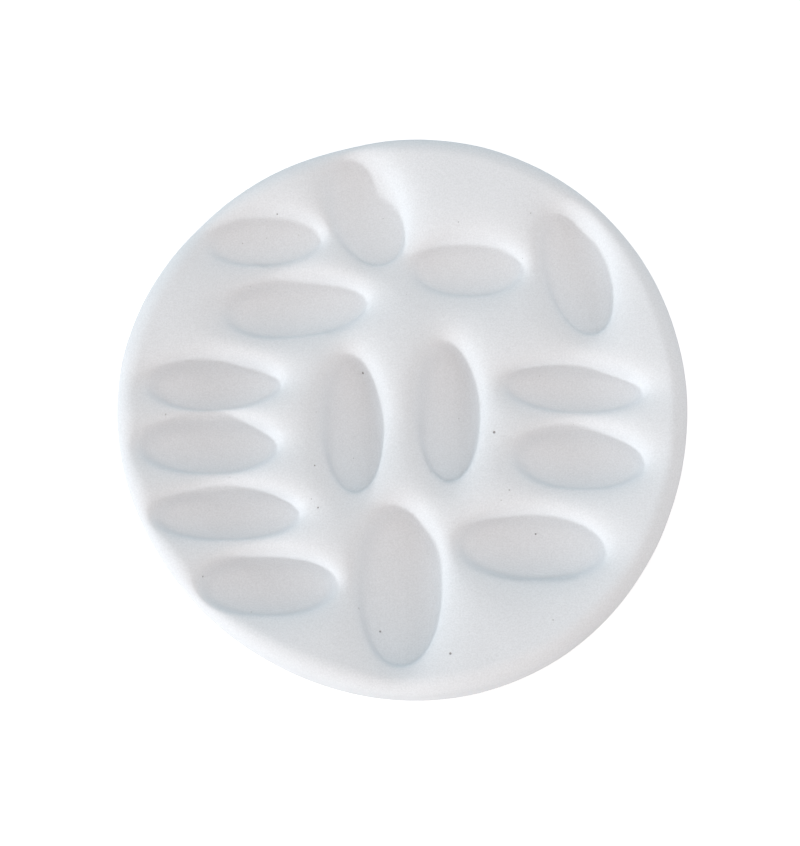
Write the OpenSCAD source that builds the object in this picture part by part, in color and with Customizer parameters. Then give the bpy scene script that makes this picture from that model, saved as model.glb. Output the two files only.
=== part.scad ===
// Round ring dish: one cast disc with finger-pressed oval hollows, on four stick-on foot pads.
// The origin is at the middle of the footprint, on the surface that the dish stands on.
// +Z is up, and +Y is the far edge of the dish as it is looked into.

/* [Dish] */
// Diameter of the dish across its rim
dish_d = 100; // [90:0.5:115]
// Thickness of the dish, from its underside to the crest of its rim
dish_h = 13; // [12:0.5:18]
// Radius of the rounded shoulder between the face and the side
shoulder_r = 3.5; // [3:0.25:6]
// Radius of the rounded edge between the side and the underside
foot_edge_r = 3; // [1:0.25:4]
// How far the outline departs from a true circle, as a hand-made rim does
rim_wobble = 0.6; // [0:0.05:1.5]

/* [Hollows] */
// Length of a common hollow, from lip to lip
hollow_l = 22; // [19:0.5:24]
// Width of a common hollow, from lip to lip
hollow_w = 10; // [8.5:0.25:11]
// Depth of a common hollow below its lip
hollow_depth = 4.9; // [3.5:0.1:5.5]
// How far the face sinks down to the lip of a hollow
lip_drop = 2.4; // [1:0.1:2.8]
// How far out from the lip that sinking reaches
lip_reach = 3.6; // [2:0.1:4]
// How much further the lip reaches on the side that the finger dragged it to
lip_lean = 0.25; // [0:0.05:0.6]
// How softly the face breaks into the wall under the lip: a lower number is a sharper break
wall_softness = 0.45; // [0.3:0.05:0.8]
// How much sharper that break is on the near side, where the fingertip went in, and softer on the far side
wall_lean = 0.8; // [0:0.05:0.8]
// Share of a hollow's depth that its rounded floor takes, with the wall taking the rest
bowl_share = 0.55; // [0.3:0.05:0.9]
// How square a hollow is seen from above: 2 is an ellipse, and a higher number has fuller ends
oval_power = 2.1; // [2:0.1:3]

/* [Foot pads] */
// Diameter of a foot pad
pad_d = 10; // [6:0.5:14]
// Thickness of a foot pad
pad_t = 1.5; // [1:0.1:3]
// Thickness of the adhesive disc that holds a pad
glue_t = 0.2; // [0.1:0.05:0.4]
// Rim of bare pad left around its adhesive disc
glue_margin = 0.4; // [0.2:0.1:1]
// Distance between a pad's edge and the edge of the flat underside
pad_inset = 7; // [3:0.5:12]

/* [Hidden] */

// The dish's own surfaces
rim_lobes = 3;
rim_lobe_bearing = 55;
drag_bearing = 220;
press_bearing = 275;
rings = 36;
shoulder_steps = 4;
side_steps = 2;
foot_edge_steps = 3;
// Within this distance of a lip, points of the face are drawn in towards it
gather_reach = dish_d / 55;

// Each hollow: bearing and share of the dish's radius at its middle, how far it is turned,
// and its length, width and depth as shares of a common hollow's
HOLLOWS = [
    [128.5,  0.79,   6, 0.87, 0.86, 0.55],
    [100.5,  0.73, 109, 0.88, 1.25, 0.65],
    [  136,  0.53,   6, 1.10, 1.02, 0.75],
    [ 66.5,  0.56,   0, 0.85, 1.00, 0.65],
    [ 38.5, 0.785, 105, 1.00, 1.12, 0.85],
    [  7.5,   0.6,  -3, 1.05, 0.83, 0.90],
    [  344, 0.635,  -3, 0.98, 1.06, 1.05],
    [  312, 0.655,  -3, 1.11, 1.12, 1.00],
    [268.5,  0.63,  90, 1.22, 1.40, 1.20],
    [232.5,  0.78,   0, 1.01, 1.03, 1.25],
    [  211,  0.72,   1, 1.11, 0.87, 1.08],
    [190.5, 0.695,   1, 1.05, 0.95, 1.12],
    [  172, 0.675,   2, 1.02, 0.86, 1.07],
    [197.5,  0.19,  92, 1.06, 1.00, 1.10],
    [  354, 0.155,  90, 1.07, 1.03, 1.08],
];

// Where the pads and the dish stand
glue_z = pad_t;
dish_z = pad_t + glue_t;
pad_bearings = [45, 135, 225, 315];
pad_ring_r = dish_d / 2 - foot_edge_r - rim_wobble - pad_inset - pad_d / 2;
shoulder_ring_r = dish_d / 2 - shoulder_r;

function hollow_middle(h) = dish_d / 2 * h[1] * [cos(h[0]), sin(h[0])];

// Share of the way from a hollow's middle to its lip, for an offset from the middle
function hollow_share(h, d) =
    let (along = d * [cos(h[2]), sin(h[2])],
         across = d * [-sin(h[2]), cos(h[2])],
         powers = pow(abs(2 * along / (hollow_l * h[3])), oval_power)
             + pow(abs(2 * across / (hollow_w * h[4])), oval_power))
    max(pow(powers, 1 / oval_power), 0.001);

// Distance past the lip, which is less than 0 inside the hollow
function past_lip(h, d) = norm(d) * (1 - 1 / hollow_share(h, d));

// How far a point of the face moves towards the lip of one hollow
function lip_pull(h, p) =
    let (d = p - hollow_middle(h),
         outside = past_lip(h, d),
         near = min(abs(outside) / gather_reach, 1))
    outside * (near - 1) / max(norm(d), 0.001) * d;

function gathered(p, i = 0) = i == len(HOLLOWS) ? p : lip_pull(HOLLOWS[i], p) + gathered(p, i + 1);

// How deep one hollow is at a point: its sunken lip, its wall and its rounded floor
function hollow_dent(h, p) =
    let (d = p - hollow_middle(h),
         outside = past_lip(h, d),
         towards = d / max(norm(d), 0.001),
         reach = lip_reach * (1 + lip_lean * towards * [cos(drag_bearing), sin(drag_bearing)]),
         softness = wall_softness * (1 - wall_lean * towards * [cos(press_bearing), sin(press_bearing)]),
         wall = (1 - bowl_share) / (1 + exp(outside / softness)),
         bowl = bowl_share * max(1 - pow(hollow_share(h, d), 2), 0))
    lip_drop * exp(-max(outside, 0) / reach) + hollow_depth * h[5] * (wall + bowl);

function face_dent(p, i = 0) = i == len(HOLLOWS) ? 0 : hollow_dent(HOLLOWS[i], p) + face_dent(p, i + 1);

// Radius of the outline at a bearing, as a share of a true circle's
function rim_share(bearing) = 1 + 2 * rim_wobble / dish_d * cos(rim_lobes * (bearing - rim_lobe_bearing));

// The outline's lobes put the middle of its box here, and the dish is moved back by it
box_middle = rim_wobble * [cos(rim_lobes * rim_lobe_bearing), cos(rim_lobes * (90 - rim_lobe_bearing))];

// A point over the plan point p, at a height that it has without hollows
function pressed(p, z) = [p[0] - box_middle[0], p[1] - box_middle[1], dish_z + z - face_dent(p) * z / dish_h];

function plan_point(bearing, r) = r * rim_share(bearing) * [cos(bearing), sin(bearing)];

// The face: a middle point and rings with six more points each than the last, the outermost left in place
face_points = [for (k = [0:rings]) for (j = [0:max(6 * k - 1, 0)])
    let (p = plan_point(k == 0 ? 0 : 60 * j / k, shoulder_ring_r * k / rings))
    pressed(k == rings ? p : gathered(p), dish_h)];

// The edge: steps of radius and height from the shoulder, down the side and round to the underside
edge_profile = [
    for (i = [1:shoulder_steps]) let (a = 90 * i / shoulder_steps)
        [shoulder_ring_r + shoulder_r * sin(a), dish_h - shoulder_r * (1 - cos(a))],
    for (i = [1:side_steps - 1])
        [dish_d / 2, dish_h - shoulder_r - (dish_h - shoulder_r - foot_edge_r) * i / side_steps],
    for (i = [0:foot_edge_steps]) let (a = 90 * i / foot_edge_steps)
        [dish_d / 2 - foot_edge_r * (1 - cos(a)), foot_edge_r * (1 - sin(a))],
];
edge_count = 6 * rings;
edge_points = [for (step = edge_profile) for (j = [0:edge_count - 1])
    pressed(plan_point(60 * j / rings, step[0]), step[1])];

function face_index(k, j) = k == 0 ? 0 : 1 + 3 * k * (k - 1) + j % (6 * k);
function edge_index(step, j) = face_index(rings, 0) + step * edge_count + j % edge_count;

face_triangles = [for (k = [1:rings]) for (s = [0:5]) for (j = [0:k - 1]) each [
    [face_index(k - 1, s * (k - 1) + j), face_index(k, s * k + j + 1), face_index(k, s * k + j)],
    if (j < k - 1)
        [face_index(k - 1, s * (k - 1) + j), face_index(k - 1, s * (k - 1) + j + 1), face_index(k, s * k + j + 1)],
]];
edge_triangles = [for (step = [0:len(edge_profile) - 1]) for (j = [0:edge_count - 1]) each [
    [edge_index(step, j), edge_index(step, j + 1), edge_index(step + 1, j)],
    [edge_index(step, j + 1), edge_index(step + 1, j + 1), edge_index(step + 1, j)],
]];
underside = [for (j = [0:edge_count - 1]) edge_index(len(edge_profile), j)];

module dish() {
    color("#e6eaed")
    polyhedron(
        points = concat(face_points, edge_points),
        faces = concat(face_triangles, edge_triangles, [underside]));
}

module at_pad(number) {
    bearing = pad_bearings[number - 1];
    translate(pad_ring_r * [cos(bearing), sin(bearing), 0]) children();
}

module foot_pad(number) {
    color("#d2cfc7") at_pad(number) cylinder(d = pad_d, h = pad_t, $fn = 48);
}

module pad_adhesive(number) {
    color("#d9dcd6") at_pad(number)
        translate([0, 0, glue_z]) cylinder(d = pad_d - 2 * glue_margin, h = glue_t, $fn = 48);
}

dish();
for (number = [1:4]) {
    foot_pad(number);
    pad_adhesive(number);
}
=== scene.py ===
import math

import bmesh
import bpy
from bpy.props import FloatProperty, FloatVectorProperty, IntProperty, PointerProperty
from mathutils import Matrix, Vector


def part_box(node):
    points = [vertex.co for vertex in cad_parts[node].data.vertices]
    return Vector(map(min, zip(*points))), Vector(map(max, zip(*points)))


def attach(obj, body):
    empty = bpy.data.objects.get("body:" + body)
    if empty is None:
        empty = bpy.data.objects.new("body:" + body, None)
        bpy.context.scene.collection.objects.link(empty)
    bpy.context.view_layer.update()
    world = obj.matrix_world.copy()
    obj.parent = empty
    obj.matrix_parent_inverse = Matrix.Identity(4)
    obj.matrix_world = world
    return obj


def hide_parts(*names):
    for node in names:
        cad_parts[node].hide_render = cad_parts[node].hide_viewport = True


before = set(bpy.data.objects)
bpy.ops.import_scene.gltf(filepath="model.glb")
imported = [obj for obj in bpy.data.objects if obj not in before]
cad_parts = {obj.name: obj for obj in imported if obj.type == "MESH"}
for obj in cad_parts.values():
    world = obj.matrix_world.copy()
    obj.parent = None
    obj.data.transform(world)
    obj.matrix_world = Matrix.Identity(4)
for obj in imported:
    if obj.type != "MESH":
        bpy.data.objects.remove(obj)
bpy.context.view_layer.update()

bl_info = {
    "name": "Ring Dish",
    "version": (1, 0, 0),
    "blender": (4, 5, 0),
    "location": "View3D > Sidebar > Ring Dish",
    "description": "A cast ring dish with finger-pressed hollows, on felt foot pads",
    "category": "Add Mesh",
}

BODY = "root"
MM = 0.001
PAD_NUMBERS = (1, 2, 3, 4)

# Each hollow: bearing and share of the dish's radius at its middle, turn in degrees,
# and its length, width and depth as shares of a common hollow's
HOLLOWS = (
    (128.5, 0.790, 6, 0.87, 0.86, 0.55),
    (100.5, 0.730, 109, 0.88, 1.25, 0.65),
    (136.0, 0.530, 6, 1.10, 1.02, 0.75),
    (66.5, 0.560, 0, 0.85, 1.00, 0.65),
    (38.5, 0.785, 105, 1.00, 1.12, 0.85),
    (7.5, 0.600, -3, 1.05, 0.83, 0.90),
    (344.0, 0.635, -3, 0.98, 1.06, 1.05),
    (312.0, 0.655, -3, 1.11, 1.12, 1.00),
    (268.5, 0.630, 90, 1.22, 1.40, 1.20),
    (232.5, 0.780, 0, 1.01, 1.03, 1.25),
    (211.0, 0.720, 1, 1.11, 0.87, 1.08),
    (190.5, 0.695, 1, 1.05, 0.95, 1.12),
    (172.0, 0.675, 2, 1.02, 0.86, 1.07),
    (197.5, 0.190, 92, 1.06, 1.00, 1.10),
    (354.0, 0.155, 90, 1.07, 1.03, 1.08),
)

# The rim's soft lobes, and the bearings that the fingertip dragged and pressed towards
RIM_LOBES = 3
RIM_LOBE_BEARING = math.radians(55)
DRAG_BEARING = math.radians(220)
PRESS_BEARING = math.radians(275)

# Hand-made waves in the cast surface
WAVES_PER_METRE = 60.0
WAVES_SEED = 4

# Patterns of the casting: how many clouds, pits and grains lie along a metre, and how dark they are
CLOUDS_PER_METRE = 45.0
CLOUD_SHADE = 0.975
PITS_PER_METRE = 900.0
GRAINS_PER_METRE = 3400.0
GRAIN_SHADES = (0.88, 1.02)
ROUGH_RELIEF = 0.12 * MM
# Air holes: how many cells lie along a metre, the share of them with a hole, and its radius in cells
LARGE_HOLES = (260.0, 0.25, 0.05)
SMALL_HOLES = (700.0, 0.04, 0.08)
SMALL_HOLE_STRENGTH = 0.55
# How far the air holes are darkened towards the hole colour: painted shade
HOLE_SHADE_STRENGTH = 0.8

# Patterns of the felt and of the adhesive
FIBRES_PER_METRE = 700.0
FIBRE_TURNS = (0.3, 1.4, 2.5)
FIBRE_SHADE = 0.72
FIBRE_RELIEF = 0.15 * MM
STREAKS_PER_METRE = 1500.0
STREAK_SHADE = 0.88
STREAK_RELIEF = 0.02 * MM

# Broad light of the room, from overhead and from bearings round the dish: red, green and blue level
OVERHEAD_LIGHT = (1.07, 0.99, 0.96)
ROOM_LIGHT = (
    (0, (0.18, 0.17, 0.17)),
    (90, (0.12, 0.44, 0.60)),
    (315, (0.60, 0.58, 0.58)),
)
# Each sun: bearing, elevation and width in degrees, and its colour
LOW_SUN = (220, 8, 3, (0.94, 0.96, 0.98))
WIDE_SUN = (190, 15, 30, (0.86, 0.94, 1.0))

# The floor's width and colour, and how much white it shows the camera by itself
FLOOR_SIZE = 4.0
FLOOR_COLOUR = (0.85, 0.85, 0.85)
FLOOR_GLOW = 0.45

# The camera's view, and where the dish stands in the picture
CAMERA_ELEVATION = 77.0
CAMERA_DISTANCE = 0.4
CAMERA_AIM_HEIGHT = 8 * MM
PIXELS_PER_MM = 5.66
PICTURE_WIDTH = 800
PICTURE_HEIGHT = 846
DISH_MIDDLE_IN_PICTURE = (402.0, 415.0)


class RingDishSizes(bpy.types.PropertyGroup):
    """Sizes of the casting and of its pads."""

    dish_d: FloatProperty(
        name="Dish diameter", description="Diameter across the rim", default=0.1, unit="LENGTH")
    dish_h: FloatProperty(
        name="Dish thickness", description="From the underside to the crest of the rim",
        default=0.013, unit="LENGTH")
    shoulder_r: FloatProperty(
        name="Shoulder radius", description="Rounding between the face and the side",
        default=0.0035, unit="LENGTH")
    foot_edge_r: FloatProperty(
        name="Foot edge radius", description="Rounding between the side and the underside",
        default=0.003, unit="LENGTH")
    rim_wobble: FloatProperty(
        name="Rim wobble", description="How far the outline departs from a circle",
        default=0.0006, unit="LENGTH")
    hollow_l: FloatProperty(
        name="Hollow length", description="Length of a common hollow", default=0.022, unit="LENGTH")
    hollow_w: FloatProperty(
        name="Hollow width", description="Width of a common hollow", default=0.010, unit="LENGTH")
    hollow_depth: FloatProperty(
        name="Hollow depth", description="Depth of a common hollow below its lip",
        default=0.0049, unit="LENGTH")
    lip_drop: FloatProperty(
        name="Lip drop", description="How far the face sinks down to a hollow's lip",
        default=0.0024, unit="LENGTH")
    lip_reach: FloatProperty(
        name="Lip reach", description="How far out that sinking reaches", default=0.0036, unit="LENGTH")
    lip_lean: FloatProperty(
        name="Lip lean", description="How much further a lip reaches on the side it was dragged to",
        default=0.25)
    wall_softness: FloatProperty(
        name="Wall softness", description="Lower numbers give a steeper wall under the lip",
        default=0.00045, unit="LENGTH")
    wall_lean: FloatProperty(
        name="Wall lean", description="How much sharper the wall breaks where the fingertip went in",
        default=0.8)
    bowl_share: FloatProperty(
        name="Bowl share", description="Share of the depth that the rounded floor takes", default=0.55)
    oval_power: FloatProperty(
        name="Oval power", description="2 is an ellipse, higher numbers are squarer", default=2.1)
    gather_reach: FloatProperty(
        name="Gather reach", description="Within it, mesh points are drawn in to the walls",
        default=0.0012, unit="LENGTH")
    unevenness: FloatProperty(
        name="Unevenness", description="Height of the hand-made waves in the surface",
        default=0.00025, unit="LENGTH")
    grid_sides: IntProperty(
        name="Mesh rows", description="Rows of faces across the dish", default=280, min=40, max=300)
    pad_rounding: FloatProperty(
        name="Pad rounding", description="Rounding of a felt pad's edges", default=0.0003, unit="LENGTH")


class RingDishLooks(bpy.types.PropertyGroup):
    """Colours and light levels."""

    cast_colour: FloatVectorProperty(
        name="Casting", description="Colour of the matte casting", subtype="COLOR",
        default=(0.80, 0.82, 0.84), min=0, max=1)
    # Painted shade: the dark colour painted into the air holes, which a real hole only gets from shade
    hole_shade_colour: FloatVectorProperty(
        name="Specks", description="Colour of the air holes in the casting", subtype="COLOR",
        default=(0.22, 0.20, 0.19), min=0, max=1)
    felt_colour: FloatVectorProperty(
        name="Felt", description="Colour of the foot pads", subtype="COLOR",
        default=(0.60, 0.58, 0.53), min=0, max=1)
    film_colour: FloatVectorProperty(
        name="Adhesive", description="Colour of the adhesive discs", subtype="COLOR",
        default=(0.70, 0.71, 0.66), min=0, max=1)
    low_sun_strength: FloatProperty(
        name="Low sun", description="Strength of the low light from the near left", default=1.12)
    wide_sun_strength: FloatProperty(
        name="Wide sun", description="Strength of the wide light from the left", default=1.06)
    room_strength: FloatProperty(
        name="Room light", description="Strength of the light of the room", default=1.0)


class Maths:
    """Short names for the maths nodes of one tree."""

    def __init__(self, tree):
        self.tree = tree

    def node(self, kind, operation, values):
        """Adds a node and feeds it sockets or plain numbers."""
        made = self.tree.nodes.new(kind)
        made.operation = operation
        for socket, value in zip(made.inputs, values):
            self.feed(socket, value)
        return made

    def feed(self, socket, value):
        """Links a socket to another, or sets its number."""
        if isinstance(value, bpy.types.NodeSocket):
            self.tree.links.new(value, socket)
        else:
            socket.default_value = value

    def do(self, operation, *values):
        """The result of a scalar operation."""
        return self.node("ShaderNodeMath", operation, values).outputs[0]

    def total(self, *values):
        """The sum of any number of values."""
        result = values[0]
        for value in values[1:]:
            result = self.do("ADD", result, value)
        return result

    def product(self, *values):
        """The product of any number of values."""
        result = values[0]
        for value in values[1:]:
            result = self.do("MULTIPLY", result, value)
        return result

    def clamp(self, value, low, high):
        """A value held between two others."""
        return self.do("MINIMUM", self.do("MAXIMUM", value, low), high)

    def choose(self, condition, if_true, if_false):
        """One of two numbers."""
        switch = self.tree.nodes.new("GeometryNodeSwitch")
        switch.input_type = "FLOAT"
        self.feed(switch.inputs["Switch"], condition)
        self.feed(switch.inputs["False"], if_false)
        self.feed(switch.inputs["True"], if_true)
        return switch.outputs[0]

    def vector(self, x, y, z):
        """A vector from three numbers."""
        combine = self.tree.nodes.new("ShaderNodeCombineXYZ")
        for socket, value in zip(combine.inputs, (x, y, z)):
            self.feed(socket, value)
        return combine.outputs[0]

    def parts(self, vector):
        """The three numbers of a vector."""
        separate = self.tree.nodes.new("ShaderNodeSeparateXYZ")
        self.feed(separate.inputs[0], vector)
        return separate.outputs


def new_tree(name, inputs, outputs):
    """A geometry node tree with named sockets, and its group input and output nodes."""
    tree = bpy.data.node_groups.new(name, "GeometryNodeTree")
    for socket_name, kind in inputs:
        tree.interface.new_socket(socket_name, in_out="INPUT", socket_type=kind)
    for socket_name, kind in outputs:
        tree.interface.new_socket(socket_name, in_out="OUTPUT", socket_type=kind)
    return tree, tree.nodes.new("NodeGroupInput").outputs, tree.nodes.new("NodeGroupOutput").inputs


HOLLOW_FLOATS = ("X", "Y", "Middle X", "Middle Y", "Turn", "Length", "Width", "Oval power")


def hollow_place(m, given):
    """A point's offset and distance from a hollow's middle, and where it lies against the lip."""
    dx = m.do("SUBTRACT", given["X"], given["Middle X"])
    dy = m.do("SUBTRACT", given["Y"], given["Middle Y"])
    cosine = m.do("COSINE", given["Turn"])
    sine = m.do("SINE", given["Turn"])
    along = m.total(m.product(dx, cosine), m.product(dy, sine))
    across = m.do("SUBTRACT", m.product(dy, cosine), m.product(dx, sine))
    share_along = m.do("ABSOLUTE", m.do("DIVIDE", m.product(2.0, along), given["Length"]))
    share_across = m.do("ABSOLUTE", m.do("DIVIDE", m.product(2.0, across), given["Width"]))
    powers = m.total(m.do("POWER", share_along, given["Oval power"]),
                     m.do("POWER", share_across, given["Oval power"]))
    share = m.do("MAXIMUM", m.do("POWER", powers, m.do("DIVIDE", 1.0, given["Oval power"])), 0.001)
    far = m.do("MAXIMUM", m.do("SQRT", m.total(m.product(dx, dx), m.product(dy, dy))), 1e-6)
    outside = m.product(far, m.do("SUBTRACT", 1.0, m.do("DIVIDE", 1.0, share)))
    return dx, dy, far, share, outside


def gather_group():
    """How far a point of the mesh moves towards the lip of one hollow, so that the wall gets more rows."""
    floats = HOLLOW_FLOATS + ("Gather reach", "Fade", "Move X so far", "Move Y so far")
    tree, given, result = new_tree(
        "Gather to one hollow", [(name, "NodeSocketFloat") for name in floats],
        [("Move X", "NodeSocketFloat"), ("Move Y", "NodeSocketFloat")])
    m = Maths(tree)
    dx, dy, far, _, outside = hollow_place(m, given)
    near = m.do("MINIMUM", m.do("DIVIDE", m.do("ABSOLUTE", outside), given["Gather reach"]), 1.0)
    pull = m.product(outside, m.do("SUBTRACT", near, 1.0), given["Fade"])
    m.feed(result["Move X"], m.total(given["Move X so far"], m.product(pull, m.do("DIVIDE", dx, far))))
    m.feed(result["Move Y"], m.total(given["Move Y so far"], m.product(pull, m.do("DIVIDE", dy, far))))
    return tree


def dent_group():
    """How much deeper the face is at a point because of one hollow: its lip, its wall and its round floor."""
    floats = HOLLOW_FLOATS + (
        "Depth", "Lip drop", "Lip reach", "Lip lean", "Wall softness", "Wall lean", "Bowl share",
        "Dent so far")
    tree, given, result = new_tree(
        "Dent of one hollow", [(name, "NodeSocketFloat") for name in floats], [("Dent", "NodeSocketFloat")])
    m = Maths(tree)
    dx, dy, far, share, outside = hollow_place(m, given)
    towards_drag, towards_press = (
        m.do("DIVIDE", m.total(m.product(dx, math.cos(side)), m.product(dy, math.sin(side))), far)
        for side in (DRAG_BEARING, PRESS_BEARING))
    lip_reach = m.product(given["Lip reach"], m.total(1.0, m.product(given["Lip lean"], towards_drag)))
    sharpening = m.product(given["Wall lean"], towards_press)
    softness = m.product(given["Wall softness"], m.do("SUBTRACT", 1.0, sharpening))
    past_lip = m.do("MAXIMUM", outside, 0.0)
    lip = m.product(given["Lip drop"], m.do("EXPONENT", m.do("DIVIDE", m.product(-1.0, past_lip), lip_reach)))
    steps = m.clamp(m.do("DIVIDE", outside, softness), -30.0, 30.0)
    wall = m.do("DIVIDE", m.do("SUBTRACT", 1.0, given["Bowl share"]), m.total(1.0, m.do("EXPONENT", steps)))
    inside = m.do("MAXIMUM", m.do("SUBTRACT", 1.0, m.product(share, share)), 0.0)
    bowl = m.product(given["Bowl share"], inside)
    m.feed(result["Dent"], m.total(given["Dent so far"], lip, m.product(given["Depth"], m.total(wall, bowl))))
    return tree


DISH_INPUTS = (
    ("Dish diameter", "dish_d"), ("Dish thickness", "dish_h"), ("Shoulder radius", "shoulder_r"),
    ("Foot edge radius", "foot_edge_r"), ("Rim wobble", "rim_wobble"),
    ("Hollow length", "hollow_l"), ("Hollow width", "hollow_w"), ("Hollow depth", "hollow_depth"),
    ("Lip drop", "lip_drop"), ("Lip reach", "lip_reach"), ("Lip lean", "lip_lean"),
    ("Wall softness", "wall_softness"), ("Wall lean", "wall_lean"),
    ("Bowl share", "bowl_share"), ("Oval power", "oval_power"), ("Gather reach", "gather_reach"),
    ("Unevenness", "unevenness"),
)


def disc_place(m, x, y):
    """Turns a place on a square grid into one on a disc, with each square ring made a round one."""
    wide = m.tree.nodes.new("FunctionNodeCompare")
    wide.data_type = "FLOAT"
    wide.operation = "GREATER_EQUAL"
    m.feed(wide.inputs[0], m.do("ABSOLUTE", x))
    m.feed(wide.inputs[1], m.do("ABSOLUTE", y))
    is_wide = wide.outputs[0]
    longer = m.choose(is_wide, x, y)
    shorter = m.choose(is_wide, y, x)
    angle = m.product(math.pi / 4, m.do("DIVIDE", shorter, longer))
    cosine = m.product(longer, m.do("COSINE", angle))
    sine = m.product(longer, m.do("SINE", angle))
    return (m.choose(is_wide, cosine, sine), m.choose(is_wide, sine, cosine), m.do("ABSOLUTE", longer))


def edge_profile(m, given, share):
    """Radius and height without hollows, at a share of the way from the middle to the underside."""
    quarter = math.pi / 2
    radius = m.product(0.5, given["Dish diameter"])
    shoulder = given["Shoulder radius"]
    foot = given["Foot edge radius"]
    face = m.do("SUBTRACT", radius, shoulder)
    side = m.do("SUBTRACT", m.do("SUBTRACT", given["Dish thickness"], shoulder), foot)
    shoulder_run = m.product(quarter, shoulder)
    foot_run = m.product(quarter, foot)
    way = m.product(share, m.total(face, shoulder_run, side, foot_run))
    past_face = m.do("SUBTRACT", way, face)
    past_shoulder = m.do("SUBTRACT", past_face, shoulder_run)
    past_side = m.do("SUBTRACT", past_shoulder, side)
    turn = m.clamp(m.do("DIVIDE", past_face, shoulder), 0.0, quarter)
    foot_turn = m.clamp(m.do("DIVIDE", past_side, foot), 0.0, quarter)
    out = m.total(
        m.do("MINIMUM", way, face),
        m.product(shoulder, m.do("SINE", turn)),
        m.product(-1.0, foot, m.do("SUBTRACT", 1.0, m.do("COSINE", foot_turn))))
    drop = m.total(
        m.product(shoulder, m.do("SUBTRACT", 1.0, m.do("COSINE", turn))),
        m.clamp(past_shoulder, 0.0, side),
        m.product(foot, m.do("SINE", foot_turn)))
    return out, m.do("SUBTRACT", given["Dish thickness"], drop)


def over_hollows(m, given, group, names, point, carried):
    """Chains one group node for each hollow, each adding to what the last one carried."""
    radius = m.product(0.5, given["Dish diameter"])
    so_far = {name: 0.0 for name in carried}
    for bearing, share, turn, long, wide, deep in HOLLOWS:
        one = m.tree.nodes.new("GeometryNodeGroup")
        one.node_tree = group
        angle = math.radians(bearing)
        values = {
            "Middle X": m.product(radius, share * math.cos(angle)),
            "Middle Y": m.product(radius, share * math.sin(angle)),
            "Turn": math.radians(turn),
            "Length": m.product(given["Hollow length"], long),
            "Width": m.product(given["Hollow width"], wide),
        }
        if "Depth" in one.inputs:
            values["Depth"] = m.product(given["Hollow depth"], deep)
        values.update({name: given[name] for name in ("Oval power", *names)})
        values.update(point)
        for name in carried:
            values[name + " so far"] = so_far[name]
        for name, value in values.items():
            m.feed(one.inputs[name], value)
        so_far = {name: one.outputs[name] for name in carried}
    return [so_far[name] for name in carried]


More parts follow.
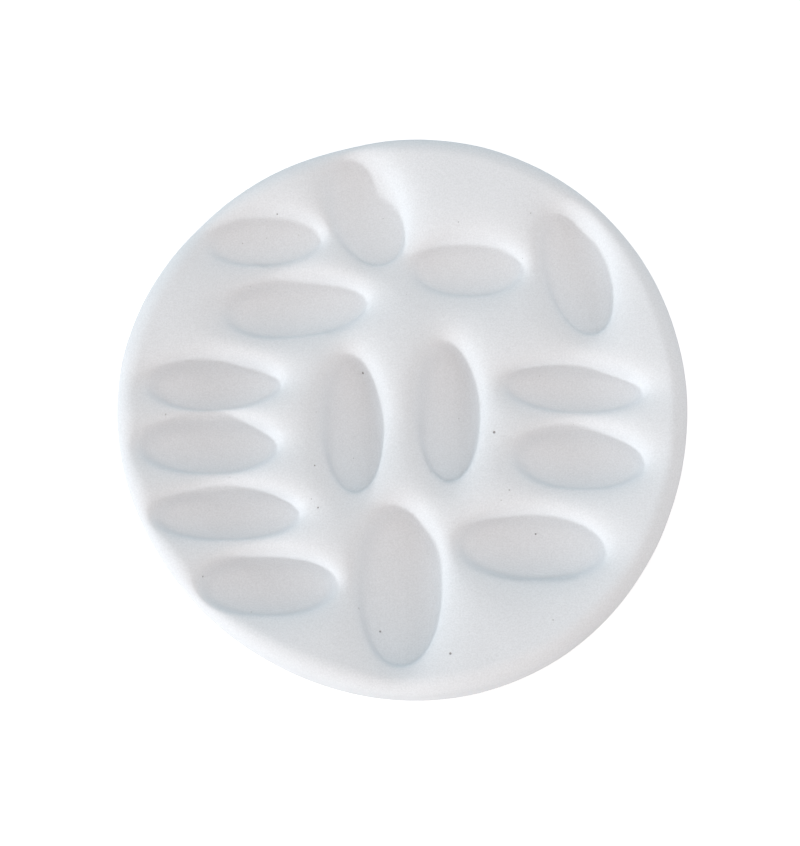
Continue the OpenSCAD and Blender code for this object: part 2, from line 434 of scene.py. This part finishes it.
def dish_tree():
    """The tree that makes the dish: a fine disc, bent to the edge's profile and pressed with hollows."""
    inputs = [("Geometry", "NodeSocketGeometry"), ("Underside height", "NodeSocketFloat"),
              ("Mesh rows", "NodeSocketInt"), ("Seed", "NodeSocketInt"), ("Material", "NodeSocketMaterial")]
    inputs += [(name, "NodeSocketFloat") for name, _ in DISH_INPUTS]
    tree, given, result = new_tree("Ring dish", inputs, [("Geometry", "NodeSocketGeometry")])
    m = Maths(tree)
    new = tree.nodes.new

    grid = new("GeometryNodeMeshGrid")
    corners = m.do("ADD", given["Mesh rows"], 1)
    for name, value in (("Size X", 2.0), ("Size Y", 2.0), ("Vertices X", corners), ("Vertices Y", corners)):
        m.feed(grid.inputs[name], value)
    place = m.parts(new("GeometryNodeInputPosition").outputs[0])
    disc_x, disc_y, share = disc_place(m, place[0], place[1])
    bearing = m.do("ARCTAN2", disc_y, disc_x)
    out, height = edge_profile(m, given, share)
    lobes = m.do("COSINE", m.product(float(RIM_LOBES), m.do("SUBTRACT", bearing, RIM_LOBE_BEARING)))
    wobble = m.do("DIVIDE", m.product(2.0, given["Rim wobble"], lobes), given["Dish diameter"])
    radius = m.product(out, m.total(1.0, wobble))
    x = m.product(radius, m.do("COSINE", bearing))
    y = m.product(radius, m.do("SINE", bearing))
    face_end = m.do("SUBTRACT", m.product(0.5, given["Dish diameter"]), given["Shoulder radius"])
    fade = m.clamp(m.do("DIVIDE", m.do("SUBTRACT", face_end, out), given["Lip reach"]), 0.0, 1.0)
    move_x, move_y = over_hollows(
        m, given, gather_group(), ("Gather reach",), {"X": x, "Y": y, "Fade": fade}, ("Move X", "Move Y"))
    x = m.total(x, move_x)
    y = m.total(y, move_y)
    dent, = over_hollows(
        m, given, dent_group(),
        ("Lip drop", "Lip reach", "Lip lean", "Wall softness", "Wall lean", "Bowl share"),
        {"X": x, "Y": y}, ("Dent",))
    centre_x, centre_y = (m.product(given["Rim wobble"], math.cos(RIM_LOBES * (side - RIM_LOBE_BEARING)))
                          for side in (0.0, math.pi / 2))
    x = m.do("SUBTRACT", x, centre_x)
    y = m.do("SUBTRACT", y, centre_y)
    height_share = m.do("DIVIDE", height, given["Dish thickness"])
    z = m.total(given["Underside height"], height, m.product(-1.0, dent, height_share))
    shaped = new("GeometryNodeSetPosition")
    m.feed(shaped.inputs["Geometry"], grid.outputs["Mesh"])
    m.feed(shaped.inputs["Position"], m.vector(x, y, z))

    waves = new("ShaderNodeTexNoise")
    waves.noise_dimensions = "4D"
    for name, value in (("Scale", WAVES_PER_METRE), ("Detail", 1.5), ("Roughness", 0.4)):
        waves.inputs[name].default_value = value
    m.feed(waves.inputs["W"], given["Seed"])
    m.feed(waves.inputs["Vector"], new("GeometryNodeInputPosition").outputs[0])
    above = m.do("DIVIDE", m.do("SUBTRACT", m.parts(new("GeometryNodeInputPosition").outputs[0])[2],
                                given["Underside height"]), given["Dish thickness"])
    push = m.product(m.do("SUBTRACT", waves.outputs[0], 0.5), 2.0, given["Unevenness"],
                     m.clamp(m.product(above, 3.0), 0.0, 1.0))
    along_normal = new("ShaderNodeVectorMath")
    along_normal.operation = "SCALE"
    m.feed(along_normal.inputs[0], new("GeometryNodeInputNormal").outputs[0])
    m.feed(along_normal.inputs["Scale"], push)
    waved = new("GeometryNodeSetPosition")
    m.feed(waved.inputs["Geometry"], shaped.outputs[0])
    m.feed(waved.inputs["Offset"], along_normal.outputs[0])

    neighbours = new("GeometryNodeInputMeshEdgeNeighbors")
    edge_only = new("FunctionNodeCompare")
    edge_only.data_type = "INT"
    edge_only.operation = "EQUAL"
    integer_inputs = [s for s in edge_only.inputs if s.type == "INT"]
    m.feed(integer_inputs[0], neighbours.outputs[0])
    integer_inputs[1].default_value = 1
    outline = new("GeometryNodeMeshToCurve")
    m.feed(outline.inputs["Mesh"], waved.outputs[0])
    m.feed(outline.inputs["Selection"], edge_only.outputs[0])
    filled = new("GeometryNodeFillCurve")
    filled.mode = "NGONS"
    m.feed(filled.inputs["Curve"], outline.outputs[0])
    turned = new("GeometryNodeFlipFaces")
    m.feed(turned.inputs["Mesh"], filled.outputs[0])
    lowered = new("GeometryNodeSetPosition")
    m.feed(lowered.inputs["Geometry"], turned.outputs[0])
    flat = m.parts(new("GeometryNodeInputPosition").outputs[0])
    m.feed(lowered.inputs["Position"], m.vector(flat[0], flat[1], given["Underside height"]))
    joined = new("GeometryNodeJoinGeometry")
    m.feed(joined.inputs[0], waved.outputs[0])
    m.feed(joined.inputs[0], lowered.outputs[0])
    merged = new("GeometryNodeMergeByDistance")
    merged.inputs["Distance"].default_value = 1e-6
    m.feed(merged.inputs["Geometry"], joined.outputs[0])
    smooth = new("GeometryNodeSetShadeSmooth")
    m.feed(smooth.inputs["Geometry"], merged.outputs[0])
    realized = new("GeometryNodeRealizeInstances")
    m.feed(realized.inputs["Geometry"], smooth.outputs[0])
    finished = new("GeometryNodeSetMaterial")
    m.feed(finished.inputs["Geometry"], realized.outputs[0])
    m.feed(finished.inputs["Material"], given["Material"])
    m.feed(result["Geometry"], finished.outputs[0])
    return tree


def made_by_tree(name, tree, values):
    """Runs a tree with named inputs and returns what it makes as a plain mesh object."""
    carrier = bpy.data.objects.new(name + "_carrier", bpy.data.meshes.new(name + "_carrier"))
    bpy.context.collection.objects.link(carrier)
    modifier = carrier.modifiers.new("Shape", "NODES")
    modifier.node_group = tree
    sockets = {item.name: item.identifier for item in tree.interface.items_tree if item.in_out == "INPUT"}
    for input_name, value in values.items():
        modifier[sockets[input_name]] = value
    depsgraph = bpy.context.evaluated_depsgraph_get()
    mesh = bpy.data.meshes.new_from_object(carrier.evaluated_get(depsgraph))
    if not mesh.polygons:
        raise RuntimeError(f"the tree for {name} made no faces")
    mesh.name = name
    bpy.data.objects.remove(carrier)
    piece = bpy.data.objects.new(name, mesh)
    bpy.context.collection.objects.link(piece)
    return piece


def new_material(name):
    """A material with its shader, its object coordinates and a maths helper."""
    material = bpy.data.materials.new(name)
    material.use_nodes = True
    tree = material.node_tree
    shader = tree.nodes["Principled BSDF"]
    coordinates = tree.nodes.new("ShaderNodeTexCoord").outputs["Object"]
    return material, Maths(tree), shader, coordinates


def noise(m, coordinates, scale, detail=2.0, roughness=0.5):
    """A noise between 0 and 1 with the given number of waves to the metre."""
    made = m.tree.nodes.new("ShaderNodeTexNoise")
    made.inputs["Scale"].default_value = scale
    made.inputs["Detail"].default_value = detail
    made.inputs["Roughness"].default_value = roughness
    m.feed(made.inputs["Vector"], coordinates)
    return made.outputs[0]


def spread(m, value, low, high, to_low, to_high):
    """A value moved from one range to another, and held there."""
    made = m.tree.nodes.new("ShaderNodeMapRange")
    m.feed(made.inputs["Value"], value)
    for name, number in (("From Min", low), ("From Max", high), ("To Min", to_low), ("To Max", to_high)):
        m.feed(made.inputs[name], number)
    return made.outputs[0]


def mix_colours(m, share, first, second, blend="MIX"):
    """A mix of two colours, each a socket or three numbers."""
    made = m.tree.nodes.new("ShaderNodeMix")
    made.data_type = "RGBA"
    made.blend_type = blend
    m.feed(made.inputs["Factor"], share)
    colours = [s for s in made.inputs if s.type == "RGBA"]
    for socket, colour in zip(colours, (first, second)):
        m.feed(socket, colour if isinstance(colour, bpy.types.NodeSocket) else (*colour, 1.0))
    return [s for s in made.outputs if s.type == "RGBA"][0]


def bump(m, shader, height, distance, strength=1.0):
    """Raises a shader's surface by a height pattern."""
    made = m.tree.nodes.new("ShaderNodeBump")
    made.inputs["Strength"].default_value = strength
    made.inputs["Distance"].default_value = distance
    m.feed(made.inputs["Height"], height)
    m.feed(shader.inputs["Normal"], made.outputs[0])


def air_holes(m, coordinates, cell_scale, keep_share, size):
    """1 inside small round holes scattered through the casting, and 0 elsewhere."""
    cells = m.tree.nodes.new("ShaderNodeTexVoronoi")
    cells.inputs["Scale"].default_value = cell_scale
    m.feed(cells.inputs["Vector"], coordinates)
    picked = m.do("LESS_THAN", m.parts(cells.outputs["Color"])[0], keep_share)
    width = m.product(size, m.total(0.5, m.parts(cells.outputs["Color"])[1]))
    inside = spread(m, cells.outputs["Distance"], width, m.product(width, 0.5), 0.0, 1.0)
    return m.product(picked, inside)


def cast_material(looks):
    """Matte mineral casting: fine grain, faint clouds, and scattered air holes with painted shade in them."""
    material, m, shader, place = new_material("cast_white")
    colour = tuple(looks.cast_colour)
    clouds = spread(m, noise(m, place, CLOUDS_PER_METRE, 3.0), 0.3, 0.7, 0.0, 1.0)
    cloudy = mix_colours(m, clouds, tuple(CLOUD_SHADE * c for c in colour), colour)
    grain = spread(m, noise(m, place, GRAINS_PER_METRE, 2.0, 0.7), 0.25, 0.75, 0.0, 1.0)
    grained = mix_colours(m, grain, *((shade,) * 3 for shade in GRAIN_SHADES))
    tinted = mix_colours(m, 1.0, cloudy, grained, "MULTIPLY")
    large = air_holes(m, place, *LARGE_HOLES)
    small = air_holes(m, place, *SMALL_HOLES)
    holes = m.do("MAXIMUM", large, m.product(small, SMALL_HOLE_STRENGTH))
    # Painted shade: the air holes are darkened towards the hole colour; the bump also presses them in
    hole_shaded = mix_colours(m, m.product(holes, HOLE_SHADE_STRENGTH), tinted, tuple(looks.hole_shade_colour))
    m.feed(shader.inputs["Base Color"], hole_shaded)
    m.feed(shader.inputs["Roughness"], spread(m, grain, 0.0, 1.0, 0.82, 0.95))
    shader.inputs["Specular IOR Level"].default_value = 0.3
    pits = noise(m, place, PITS_PER_METRE, 3.0)
    height = m.total(m.product(grain, 0.15), m.product(pits, 0.35), m.product(-1.0, holes))
    bump(m, shader, height, ROUGH_RELIEF)
    return material


def felt_material(looks):
    """Pressed wool felt: short crossing fibres and a soft sheen."""
    material, m, shader, place = new_material("felt")
    colour = tuple(looks.felt_colour)
    stretched = []
    for turn in FIBRE_TURNS:
        mapping = m.tree.nodes.new("ShaderNodeMapping")
        mapping.inputs["Rotation"].default_value = (0.4 * turn, 0.7 * turn, turn)
        mapping.inputs["Scale"].default_value = (1.0, 7.0, 3.0)
        m.feed(mapping.inputs["Vector"], place)
        stretched.append(noise(m, mapping.outputs[0], FIBRES_PER_METRE, 3.0, 0.6))
    fibres = m.do("MAXIMUM", m.do("MAXIMUM", stretched[0], stretched[1]), stretched[2])
    fibres = spread(m, fibres, 0.45, 0.75, 0.0, 1.0)
    darker = tuple(FIBRE_SHADE * c for c in colour)
    m.feed(shader.inputs["Base Color"], mix_colours(m, fibres, darker, colour))
    shader.inputs["Roughness"].default_value = 1.0
    shader.inputs["Sheen Weight"].default_value = 0.3
    shader.inputs["Sheen Roughness"].default_value = 0.6
    bump(m, shader, fibres, FIBRE_RELIEF)
    return material


def film_material(looks):
    """Adhesive film: smooth, a little milky, with faint trapped streaks."""
    material, m, shader, place = new_material("adhesive")
    colour = tuple(looks.film_colour)
    streaks = spread(m, noise(m, place, STREAKS_PER_METRE, 2.0), 0.35, 0.65, 0.0, 1.0)
    darker = tuple(STREAK_SHADE * c for c in colour)
    m.feed(shader.inputs["Base Color"], mix_colours(m, streaks, darker, colour))
    m.feed(shader.inputs["Roughness"], spread(m, streaks, 0.0, 1.0, 0.3, 0.45))
    bump(m, shader, streaks, STREAK_RELIEF)
    return material


class RING_DISH_OT_cast_dish(bpy.types.Operator):
    """Makes the cast dish with its hollows."""

    bl_idname = "ring_dish.cast_dish"
    bl_label = "Cast Dish"

    def execute(self, context):
        sizes = context.scene.ring_dish_sizes
        values = {name: getattr(sizes, key) for name, key in DISH_INPUTS}
        values["Underside height"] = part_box("dish")[0].z
        values["Mesh rows"] = sizes.grid_sides
        values["Seed"] = WAVES_SEED
        values["Material"] = cast_material(context.scene.ring_dish_looks)
        dish = made_by_tree("dish_casting", dish_tree(), values)
        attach(dish, BODY)
        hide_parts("dish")
        return {"FINISHED"}


def felt_pad(name, middle, radius, low, high, rounding):
    """A round felt pad: a disc with rounded edges, its sides a little fuzzy."""
    segments = 64
    rounding_steps = 4
    fuzz_depth = 0.004
    profile = [(radius - rounding * (1 - math.sin(a)), low + rounding * (1 - math.cos(a)))
               for a in (math.pi / 2 * i / rounding_steps for i in range(rounding_steps + 1))]
    profile += [(r, high - (z - low)) for r, z in reversed(profile)]
    mesh = bpy.data.meshes.new(name)
    shape = bmesh.new()
    rings = []
    for r, z in profile:
        ring = []
        for i in range(segments):
            angle = 2 * math.pi * i / segments
            fuzz = 1 + fuzz_depth * math.sin(7 * angle + 900 * z) * math.sin(11 * angle)
            spot = (middle.x + r * fuzz * math.cos(angle), middle.y + r * fuzz * math.sin(angle), z)
            ring.append(shape.verts.new(spot))
        rings.append(ring)
    for lower, upper in zip(rings, rings[1:]):
        for i in range(segments):
            j = (i + 1) % segments
            shape.faces.new((lower[i], lower[j], upper[j], upper[i]))
    for ring, z, is_top in ((rings[0], low, False), (rings[-1], high, True)):
        centre = shape.verts.new((middle.x, middle.y, z))
        for i in range(segments):
            j = (i + 1) % segments
            shape.faces.new((ring[i], ring[j], centre) if is_top else (ring[j], ring[i], centre))
    for face in shape.faces:
        face.smooth = True
    shape.to_mesh(mesh)
    shape.free()
    pad = bpy.data.objects.new(name, mesh)
    bpy.context.collection.objects.link(pad)
    return pad


class RING_DISH_OT_felt_pads(bpy.types.Operator):
    """Makes the four felt foot pads."""

    bl_idname = "ring_dish.felt_pads"
    bl_label = "Felt Foot Pads"

    def execute(self, context):
        sizes = context.scene.ring_dish_sizes
        felt = felt_material(context.scene.ring_dish_looks)
        for number in PAD_NUMBERS:
            node = f"foot_pad_{number}"
            low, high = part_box(node)
            pad = felt_pad(f"felt_pad_{number}", (low + high) / 2, (high.x - low.x) / 2,
                           low.z, high.z, sizes.pad_rounding)
            pad.data.materials.append(felt)
            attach(pad, BODY)
            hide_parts(node)
        return {"FINISHED"}


class RING_DISH_OT_adhesive_discs(bpy.types.Operator):
    """Gives the adhesive discs of the frame their finish."""

    bl_idname = "ring_dish.adhesive_discs"
    bl_label = "Adhesive Discs"

    def execute(self, context):
        film = film_material(context.scene.ring_dish_looks)
        for number in PAD_NUMBERS:
            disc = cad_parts[f"pad_adhesive_{number}"]
            for material_slot in disc.material_slots:
                material_slot.material = film
        return {"FINISHED"}


class RING_DISH_OT_stage(bpy.types.Operator):
    """Makes the floor, the light and the camera."""

    bl_idname = "ring_dish.stage"
    bl_label = "Stage"

    def execute(self, context):
        looks = context.scene.ring_dish_looks
        floor = make_floor()
        make_light(looks)
        make_camera()
        context.scene.view_settings.view_transform = "Standard"
        return {"FINISHED"}


def seen_directly(m):
    """1 for the camera's rays and for those that metal or glass sends on, and 0 for the rest."""
    rays = m.tree.nodes.new("ShaderNodeLightPath").outputs
    passed_on = m.do("MAXIMUM", rays["Is Glossy Ray"], rays["Is Transmission Ray"])
    return m.do("MAXIMUM", rays["Is Camera Ray"], passed_on)


def make_floor():
    """A wide pale floor that shows white to the camera and keeps the dish's soft shadow."""
    half = FLOOR_SIZE / 2
    corners = [(-half, -half, 0), (half, -half, 0), (half, half, 0), (-half, half, 0)]
    mesh = bpy.data.meshes.new("floor")
    mesh.from_pydata(corners, [], [(0, 1, 2, 3)])
    floor = bpy.data.objects.new("floor", mesh)
    bpy.context.collection.objects.link(floor)
    material, m, shader, _ = new_material("pale_floor")
    shader.inputs["Base Color"].default_value = (*FLOOR_COLOUR, 1.0)
    shader.inputs["Roughness"].default_value = 0.9
    shader.inputs["Emission Color"].default_value = (1.0, 1.0, 1.0, 1.0)
    m.feed(shader.inputs["Emission Strength"], m.product(seen_directly(m), FLOOR_GLOW))
    mesh.materials.append(material)
    return floor


def make_light(looks):
    """Broad light of the room, a low sun from the near left and a wide one from the left."""
    world = bpy.data.worlds.new("room")
    bpy.context.scene.world = world
    world.use_nodes = True
    tree = world.node_tree
    m = Maths(tree)
    x, y, z = m.parts(tree.nodes.new("ShaderNodeTexCoord").outputs["Generated"])
    overhead = m.do("MAXIMUM", z, 0.0)
    levels = [m.product(overhead, level) for level in OVERHEAD_LIGHT]
    for bearing, colour in ROOM_LIGHT:
        angle = math.radians(bearing)
        facing = m.do("MAXIMUM", m.total(m.product(x, math.cos(angle)), m.product(y, math.sin(angle))), 0.0)
        lobe = m.product(facing, facing)
        levels = [m.total(so_far, m.product(lobe, level)) for so_far, level in zip(levels, colour)]
    background = tree.nodes["Background"]
    white = (1.0, 1.0, 1.0)
    m.feed(background.inputs["Color"], mix_colours(m, seen_directly(m), m.vector(*levels), white))
    background.inputs["Strength"].default_value = looks.room_strength

    add_sun("low_sun", looks.low_sun_strength, *LOW_SUN)
    add_sun("wide_sun", looks.wide_sun_strength, *WIDE_SUN)


def add_sun(name, strength, bearing, elevation, width, colour):
    """A sun that shines from a bearing and an elevation in degrees."""
    sun = bpy.data.lights.new(name, "SUN")
    sun.energy = strength
    sun.angle = math.radians(width)
    sun.color = colour
    lamp = bpy.data.objects.new(name, sun)
    side = math.radians(bearing)
    height = math.radians(elevation)
    towards = Vector((math.cos(side) * math.cos(height), math.sin(side) * math.cos(height), math.sin(height)))
    lamp.rotation_euler = towards.to_track_quat("Z", "Y").to_euler()
    lamp.location = towards * 0.5
    bpy.context.collection.objects.link(lamp)


def make_camera():
    """The photograph's view: nearly overhead, leaning to the near edge."""
    height = math.radians(CAMERA_ELEVATION)
    back = Vector((0, -math.cos(height), math.sin(height)))
    up = Vector((0, math.sin(height), math.cos(height)))
    aside = (PICTURE_WIDTH / 2 - DISH_MIDDLE_IN_PICTURE[0]) / PIXELS_PER_MM * MM
    above = (DISH_MIDDLE_IN_PICTURE[1] - PICTURE_HEIGHT / 2) / PIXELS_PER_MM * MM
    target = Vector((aside, 0, CAMERA_AIM_HEIGHT)) + up * above
    lens = bpy.data.cameras.new("camera")
    lens.sensor_fit = "HORIZONTAL"
    lens.sensor_width = 36.0
    lens.lens = lens.sensor_width * CAMERA_DISTANCE / (PICTURE_WIDTH / PIXELS_PER_MM * MM)
    lens.clip_start = 0.01
    camera = bpy.data.objects.new("camera", lens)
    camera.location = target + back * CAMERA_DISTANCE
    camera.rotation_euler = back.to_track_quat("Z", "Y").to_euler()
    bpy.context.collection.objects.link(camera)
    bpy.context.scene.camera = camera


class VIEW3D_PT_ring_dish(bpy.types.Panel):
    """Lists the sizes and the steps that make the dish."""

    bl_label = "Ring Dish"
    bl_space_type = "VIEW_3D"
    bl_region_type = "UI"
    bl_category = "Ring Dish"

    def draw(self, context):
        for group in (context.scene.ring_dish_sizes, context.scene.ring_dish_looks):
            for name in group.bl_rna.properties.keys():
                if name not in ("rna_type", "name"):
                    self.layout.prop(group, name)
        for step in STEPS:
            self.layout.operator(step.bl_idname)


STEPS = (RING_DISH_OT_stage, RING_DISH_OT_cast_dish, RING_DISH_OT_felt_pads, RING_DISH_OT_adhesive_discs)
CLASSES = (RingDishSizes, RingDishLooks, *STEPS, VIEW3D_PT_ring_dish)


def register():
    for made in CLASSES:
        bpy.utils.register_class(made)
    bpy.types.Scene.ring_dish_sizes = PointerProperty(type=RingDishSizes)
    bpy.types.Scene.ring_dish_looks = PointerProperty(type=RingDishLooks)


def unregister():
    del bpy.types.Scene.ring_dish_looks
    del bpy.types.Scene.ring_dish_sizes
    for made in reversed(CLASSES):
        bpy.utils.unregister_class(made)


def main():
    register()
    bpy.ops.ring_dish.stage()
    bpy.ops.ring_dish.cast_dish()
    bpy.ops.ring_dish.felt_pads()
    bpy.ops.ring_dish.adhesive_discs()


if __name__ == "__main__":
    main()
